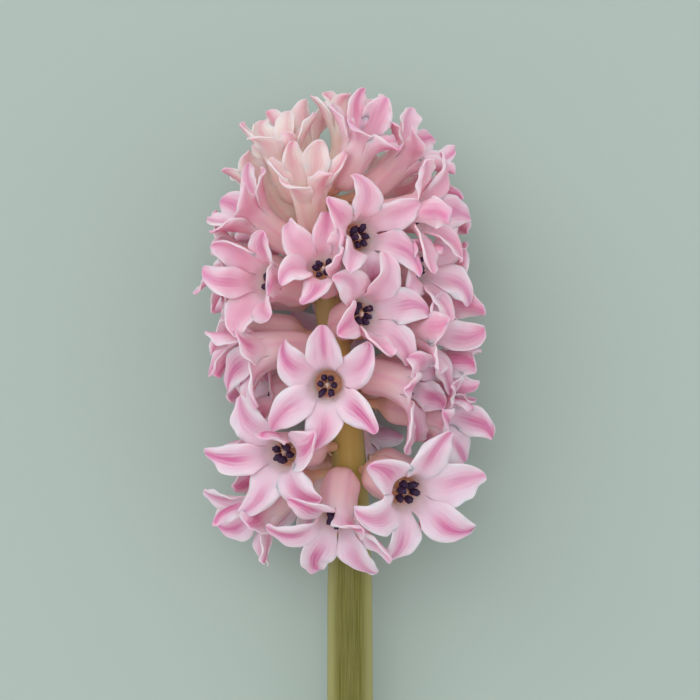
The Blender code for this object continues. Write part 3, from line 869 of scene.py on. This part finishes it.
pink_petals = petal_skin(
    "pink_petals", ground=dye(246, 207, 219), blush=dye(241, 184, 202), band=dye(204, 112, 160),
    tip=dye(228, 132, 176), tube=dye(250, 212, 210), tube_foot=dye(228, 186, 150),
    throat=dye(246, 226, 222))
cream_petals = petal_skin(
    "cream_petals", ground=dye(246, 226, 220), blush=dye(242, 206, 208), band=dye(220, 140, 164),
    tip=dye(232, 140, 178), tube=dye(248, 224, 210), tube_foot=dye(226, 196, 150),
    throat=dye(240, 218, 198))
for number, row in enumerate(FLORETS, 1):
    young = row[6] <= MOST_OPEN_WHEN_CREAM
    finish, slot_name = (cream_petals, "petal_cream") if young else (pink_petals, "petal_pink")
    petals = piece_from(f"petals_{number:02d}", floret_body(number, row), finish, slot_name,
                        f"floret_{number:02d}")
    rounded = petals.modifiers.new("rounded", "SUBSURF")
    rounded.levels = rounded.render_levels = 1


# ---------------------------------------------------------------------------------------------
# The stamens. Six nearly black anthers on short pale threads stand round a stubby white pistil
# in each open throat, and shed a little yellow dust.
# ---------------------------------------------------------------------------------------------
ANTHER_LENGTH = 2.7 * MM
ANTHER_THICKNESS = 0.84 * MM
ANTHER_RING = 1.95 * MM
ANTHER_DEPTH = 0.9 * MM
THREAD_RADIUS = 0.28 * MM
THREAD_FOOT_RING = 2.4 * MM
PISTIL_RADIUS = 0.75 * MM
PISTIL_LENGTH = 3.4 * MM
PISTIL_MIDDLE = -2.0 * MM
LEAST_OPEN_WITH_ANTHERS = 45
BALL_SIDES = 12
BALL_ROWS = 8


def stretched_ball(bm, place, axis, length, thickness):
    """A lumpy ball drawn out along an axis, as an anther, a thread or a pistil."""
    ball = bmesh.ops.create_uvsphere(bm, u_segments=BALL_SIDES, v_segments=BALL_ROWS, radius=1.0)
    turn = Vector((0, 0, 1)).rotation_difference(axis).to_matrix().to_4x4()
    for vert in ball["verts"]:
        lump = 1 + 0.5 * noise.noise(vert.co * 2.1 + place * 2000)
        across, deep, up = vert.co * lump
        vert.co = place + turn @ Vector((across * thickness, deep * thickness, up * length / 2))


def anthers_body(row):
    size = row[8]
    mouth = mouth_frame(floret_path(*row[:6]), row[7])
    bm = bmesh.new()
    for lobe in range(LOBES):
        angle = 2 * math.pi * (lobe + 0.5) / LOBES
        spoke = Vector((math.cos(angle), math.sin(angle), 0))
        drift = noise.noise_vector(Vector((row[0] * 0.37, lobe * 1.9, 0.3)))
        place = spoke * ANTHER_RING - Vector((0, 0, ANTHER_DEPTH - 0.5 * MM * (lobe % 2)))
        place += drift * 0.7 * MM
        axis = (Vector((0, 0, 1)) + spoke * 0.35 + drift * 1.1).normalized()
        stretched_ball(bm, place * size, axis, ANTHER_LENGTH * size, ANTHER_THICKNESS * size)
    for vert in bm.verts:
        vert.co = laid(mouth @ vert.co)
    return bm


def pistil_body(row):
    """The pistil and the six threads, which rise from the floor of the throat."""
    size = row[8]
    mouth = mouth_frame(floret_path(*row[:6]), row[7])
    bm = bmesh.new()
    middle = Vector((0, 0, PISTIL_MIDDLE))
    stretched_ball(bm, middle * size, Vector((0, 0, 1)), PISTIL_LENGTH * size, PISTIL_RADIUS * size)
    for lobe in range(LOBES):
        angle = 2 * math.pi * (lobe + 0.5) / LOBES
        spoke = Vector((math.cos(angle), math.sin(angle), 0))
        foot = spoke * THREAD_FOOT_RING - Vector((0, 0, THROAT_FLOOR))
        head = spoke * ANTHER_RING - Vector((0, 0, ANTHER_DEPTH + 0.8 * MM))
        middle = (foot + head) / 2 * size
        length = (head - foot).length * size * 1.15
        stretched_ball(bm, middle, (head - foot).normalized(), length, THREAD_RADIUS * size)
    for vert in bm.verts:
        vert.co = laid(mouth @ vert.co)
    return bm


def anther_skin():
    made, shader, graph = plant_material("dark_anthers", 0.6, 0.0, 1.0 * MM, 0.35)
    grains = graph.placed(mottle, scale=2600.0, fineness=0.7, low=0.35, high=0.65)
    dusk = graph.blend(grains["mask"], dye(34, 18, 44), dye(66, 40, 78))
    dust = graph.placed(mottle, scale=1500.0, fineness=0.8, low=0.62, high=0.72)["mask"]
    dusted = graph.blend(graph.math("MULTIPLY", dust, 0.55), dusk, dye(190, 140, 92))
    graph.feed(shader.inputs["Base Color"], dusted)
    bumped(graph, shader, grains["noise"], 0.6, 0.1 * MM)
    return made


def pistil_skin():
    made, shader, graph = plant_material("pale_pistil", 0.5, 0.2, 0.8 * MM, 0.4)
    cloud = graph.placed(mottle, scale=900.0, fineness=0.5, low=0.35, high=0.65)
    colour = graph.blend(cloud["mask"], dye(206, 164, 138), dye(236, 214, 206))
    graph.feed(shader.inputs["Base Color"], colour)
    bumped(graph, shader, cloud["noise"], 0.3, 0.1 * MM)
    return made


dark_anthers, pale_pistil = anther_skin(), pistil_skin()
for number, row in enumerate(FLORETS, 1):
    framed = [name for name in (f"stamens_{number:02d}",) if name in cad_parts]
    if framed or row[6] > LEAST_OPEN_WITH_ANTHERS:
        piece_from(f"anthers_{number:02d}", anthers_body(row), dark_anthers, "anther", *framed)
        piece_from(f"pistil_{number:02d}", pistil_body(row), pale_pistil, "anther")


# ---------------------------------------------------------------------------------------------
# The bracts. A papery little scale, all that a hyacinth has for a leaf up here, grows out of the
# stem beside the foot of each stalk and shrivels as the floret opens.
# ---------------------------------------------------------------------------------------------
BRACT_LENGTH = 5.2 * MM
BRACT_HALF_WIDTH = 0.9 * MM
BRACT_LEAN = math.radians(32)
BRACT_WALL = 0.2 * MM
BRACT_DROP = 2.4 * MM
BRACT_TURN = 34
BRACT_ROOT = 0.2 * MM
HIGHEST_BRACT = STEM_LENGTH - 6 * MM
BRACT_ROWS = 8
BRACT_COLUMNS = 4


def grow_bract(bm, number, row):
    """One scale, standing out from the stem beside a stalk's foot and curling back at its tip."""
    height, turn, rise = row[0], row[1], row[3]
    foot_height = min((height - rise) * MM, HIGHEST_BRACT) - BRACT_DROP
    turn += BRACT_TURN if number % 2 else -BRACT_TURN
    drift = noise.noise(Vector((number * 1.37, 0.2, 0.9)))
    side = outward(turn + 90)
    grid = bmesh.ops.create_grid(bm, x_segments=BRACT_COLUMNS, y_segments=BRACT_ROWS, size=1.0)["verts"]
    for vert in grid:
        across, share = vert.co.x, (vert.co.y + 1) / 2
        angle = BRACT_LEAN + (0.5 + drift) * share**2
        away = outward(turn) * math.sin(angle) + Vector((0, 0, math.cos(angle)))
        half = BRACT_HALF_WIDTH * (1 - 0.85 * share**2)
        place = stem_centre(foot_height) + outward(turn) * (stem_radius(foot_height) - BRACT_ROOT)
        place += away * BRACT_LENGTH * share + side * half * across
        place += outward(turn) * 0.5 * half * across**2 + side * drift * 2 * MM * share**2
        vert.co = laid(place, BRACT_WALL)


def bract_skin():
    made, shader, graph = plant_material("papery_bract", 0.6, 0.4, 1.0 * MM, 0.3)
    fibres = graph.placed(mottle, scale=700.0, fineness=0.6, low=0.35, high=0.65)
    colour = graph.blend(fibres["mask"], dye(232, 196, 172), dye(214, 170, 142))
    graph.feed(shader.inputs["Base Color"], colour)
    bumped(graph, shader, fibres["noise"], 0.3, 0.1 * MM)
    return made


scales = bmesh.new()
for number, row in enumerate(FLORETS, 1):
    grow_bract(scales, number, row)
bracts = piece_from("bracts", scales, bract_skin(), "petal_cream")
papery = bracts.modifiers.new("papery", "SOLIDIFY")
papery.thickness = BRACT_WALL
papery.offset = 0.0
